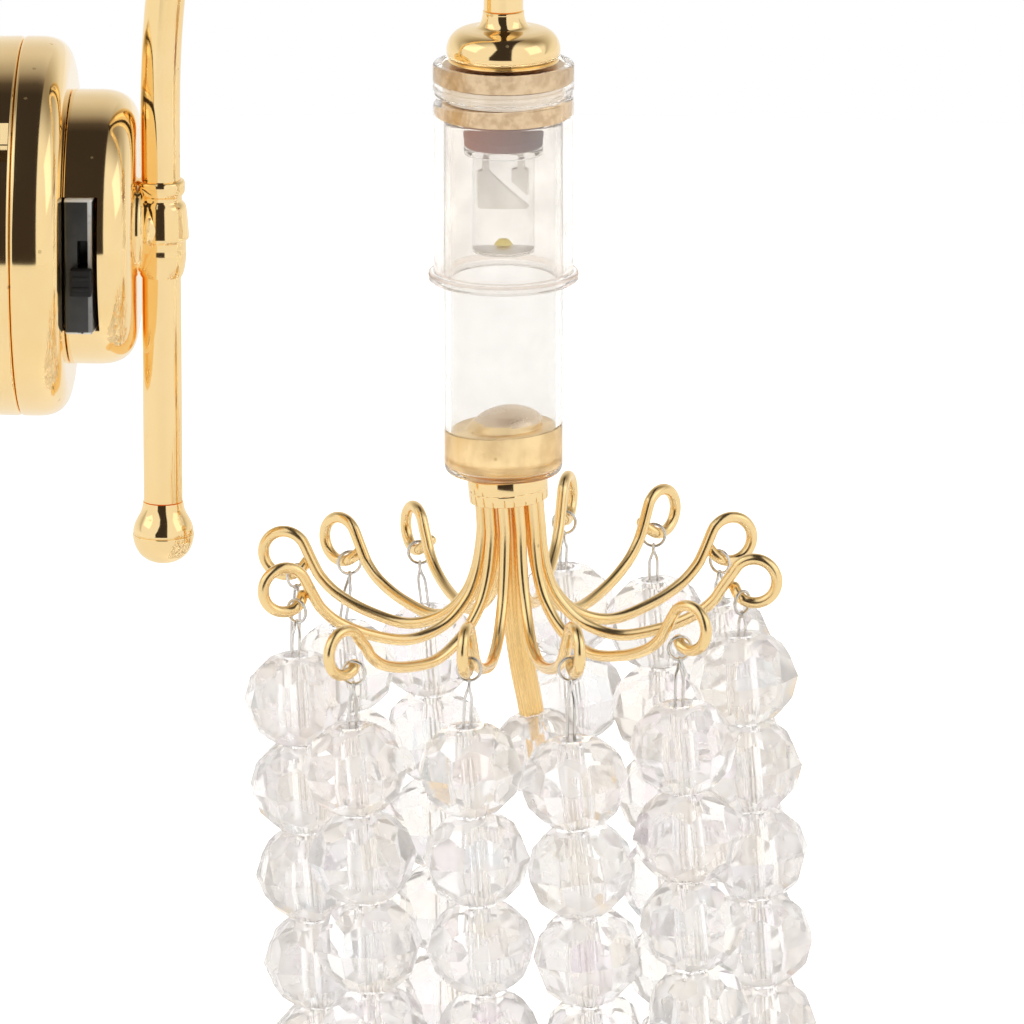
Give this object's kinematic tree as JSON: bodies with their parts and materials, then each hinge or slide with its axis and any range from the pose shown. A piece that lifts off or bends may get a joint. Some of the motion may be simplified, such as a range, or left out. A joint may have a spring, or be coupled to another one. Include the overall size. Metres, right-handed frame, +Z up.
{
  "type": "miniature wall chandelier lamp",
  "caption": "Dolls' house battery wall lamp: round gold battery case with slide switch, swan-neck rod, clear lamp tube and bent wire arms hung with cut clear bead strands.",
  "frame": {"origin": "on the wall plane (the back of the adhesive pad) at the battery case's axis", "axes": "+X away from the wall towards the lamp head, +Z up, the slide switch on the -Y side"},
  "size_m": [0.0424, 0.0259, 0.0754],
  "materials": {
    "gold_plate": "polished gold plate",
    "cell_steel": "satin",
    "black_plastic": "satin moulded",
    "white_foam": "matte foam tape",
    "clear_plastic": "clear, slightly frosted moulding",
    "cut_bead": "polished facets with a faint rainbow coating",
    "holder_rubber": "matte",
    "led_epoxy": "clear epoxy",
    "link_wire": "bright fine wire",
    "lead_insulation": "matte"
  },
  "bodies": {
    "wall_cover": {"adhesive_pad": "white_foam", "rear_cover": "gold_plate", "contact_spring": "cell_steel"},
    "lamp_body": {"battery_cell": "cell_steel", "contact_plate": "cell_steel", "front_case": "gold_plate", "switch_drum": "gold_plate", "switch_body": "black_plastic", "arm_boss": "gold_plate", "arm_rod": "gold_plate", "ball_finial": "gold_plate", "bell_cap": "gold_plate", "cap_ring": "clear_plastic", "inner_cup": "gold_plate", "led_grommet": "holder_rubber", "led": "led_epoxy", "led_leads": "lead_insulation", "upper_sleeve": "clear_plastic"},
    "switch_slider": {"switch_knob": "black_plastic"},
    "crystal_head": {"lower_tube": "clear_plastic", "tube_plug": "gold_plate", "hub_collar": "gold_plate", "center_stem": "gold_plate", "stem_bead": "cut_bead", "wire_arm_01": "gold_plate", "wire_arm_02": "gold_plate", "wire_arm_03": "gold_plate", "wire_arm_04": "gold_plate", "wire_arm_05": "gold_plate", "wire_arm_06": "gold_plate", "wire_arm_07": "gold_plate", "wire_arm_08": "gold_plate", "wire_arm_09": "gold_plate", "wire_arm_10": "gold_plate", "wire_arm_11": "gold_plate", "wire_arm_12": "gold_plate", "wire_ring_01": "link_wire", "wire_ring_02": "link_wire", "wire_ring_03": "link_wire", "wire_ring_04": "link_wire", "wire_ring_05": "link_wire", "wire_ring_06": "link_wire", "wire_ring_07": "link_wire", "wire_ring_08": "link_wire", "wire_ring_09": "link_wire", "wire_ring_10": "link_wire", "wire_ring_11": "link_wire", "wire_ring_12": "link_wire"},
    "strand_01": {"bead_strand_01": "cut_bead"},
    "strand_02": {"bead_strand_02": "cut_bead"},
    "strand_03": {"bead_strand_03": "cut_bead"},
    "strand_04": {"bead_strand_04": "cut_bead"},
    "strand_05": {"bead_strand_05": "cut_bead"},
    "strand_06": {"bead_strand_06": "cut_bead"},
    "strand_07": {"bead_strand_07": "cut_bead"},
    "strand_08": {"bead_strand_08": "cut_bead"},
    "strand_09": {"bead_strand_09": "cut_bead"},
    "strand_10": {"bead_strand_10": "cut_bead"},
    "strand_11": {"bead_strand_11": "cut_bead"},
    "strand_12": {"bead_strand_12": "cut_bead"}
  },
  "joints": [
    {"name": "battery_case_pull", "type": "slide", "parent": "wall_cover", "child": "lamp_body", "axis": [1, 0, 0], "range_m": [0, 0.008], "stiffness_N_per_m": 60},
    {"name": "switch_slide", "type": "slide", "parent": "lamp_body", "child": "switch_slider", "axis": [0, 0, 1], "range_m": [0, 0.00135]},
    {"name": "tube_pull", "type": "slide", "parent": "lamp_body", "child": "crystal_head", "axis": [0, 0, -1], "range_m": [0, 0.006], "stiffness_N_per_m": 400},
    {"name": "strand_swing_01", "type": "hinge", "parent": "crystal_head", "child": "strand_01", "pos_m": [0.02941, 0.0106, -0.01778], "axis": [0.9796, -0.2011, 0], "range_deg": [-0.5, 25]},
    {"name": "strand_swing_02", "type": "hinge", "parent": "crystal_head", "child": "strand_02", "pos_m": [0.03386, 0.00855, -0.01784], "axis": [0.7902, -0.6129, 0], "range_deg": [-0.5, 25]},
    {"name": "strand_swing_03", "type": "hinge", "parent": "crystal_head", "child": "strand_03", "pos_m": [0.03721, 0.00418, -0.01801], "axis": [0.3859, -0.9225, 0], "range_deg": [-0.5, 25]},
    {"name": "strand_swing_04", "type": "hinge", "parent": "crystal_head", "child": "strand_04", "pos_m": [0.03843, -0.00078, -0.01873], "axis": [-0.0698, -0.9976, 0], "range_deg": [-0.5, 25]},
    {"name": "strand_swing_05", "type": "hinge", "parent": "crystal_head", "child": "strand_05", "pos_m": [0.03557, -0.0069, -0.01939], "axis": [-0.6374, -0.7705, 0], "range_deg": [-0.5, 25]},
    {"name": "strand_swing_06", "type": "hinge", "parent": "crystal_head", "child": "strand_06", "pos_m": [0.03047, -0.01033, -0.01956], "axis": [-0.9542, -0.299, 0], "range_deg": [-0.5, 25]},
    {"name": "strand_swing_07", "type": "hinge", "parent": "crystal_head", "child": "strand_07", "pos_m": [0.02565, -0.01071, -0.01951], "axis": [-0.9893, 0.1461, 0], "range_deg": [-0.5, 25]},
    {"name": "strand_swing_08", "type": "hinge", "parent": "crystal_head", "child": "strand_08", "pos_m": [0.02, -0.00805, -0.02047], "axis": [-0.7443, 0.6678, 0], "range_deg": [-0.5, 25]},
    {"name": "strand_swing_09", "type": "hinge", "parent": "crystal_head", "child": "strand_09", "pos_m": [0.01703, -0.00361, -0.01863], "axis": [-0.3338, 0.9426, 0], "range_deg": [-0.5, 25]},
    {"name": "strand_swing_10", "type": "hinge", "parent": "crystal_head", "child": "strand_10", "pos_m": [0.01668, 0.00242, -0.01846], "axis": [0.2233, 0.9748, 0], "range_deg": [-0.5, 25]},
    {"name": "strand_swing_11", "type": "hinge", "parent": "crystal_head", "child": "strand_11", "pos_m": [0.01901, 0.00704, -0.019], "axis": [0.6508, 0.7593, 0], "range_deg": [-0.5, 25]},
    {"name": "strand_swing_12", "type": "hinge", "parent": "crystal_head", "child": "strand_12", "pos_m": [0.02233, 0.00965, -0.01912], "axis": [0.8918, 0.4524, 0], "range_deg": [-0.5, 25]}
  ]
}
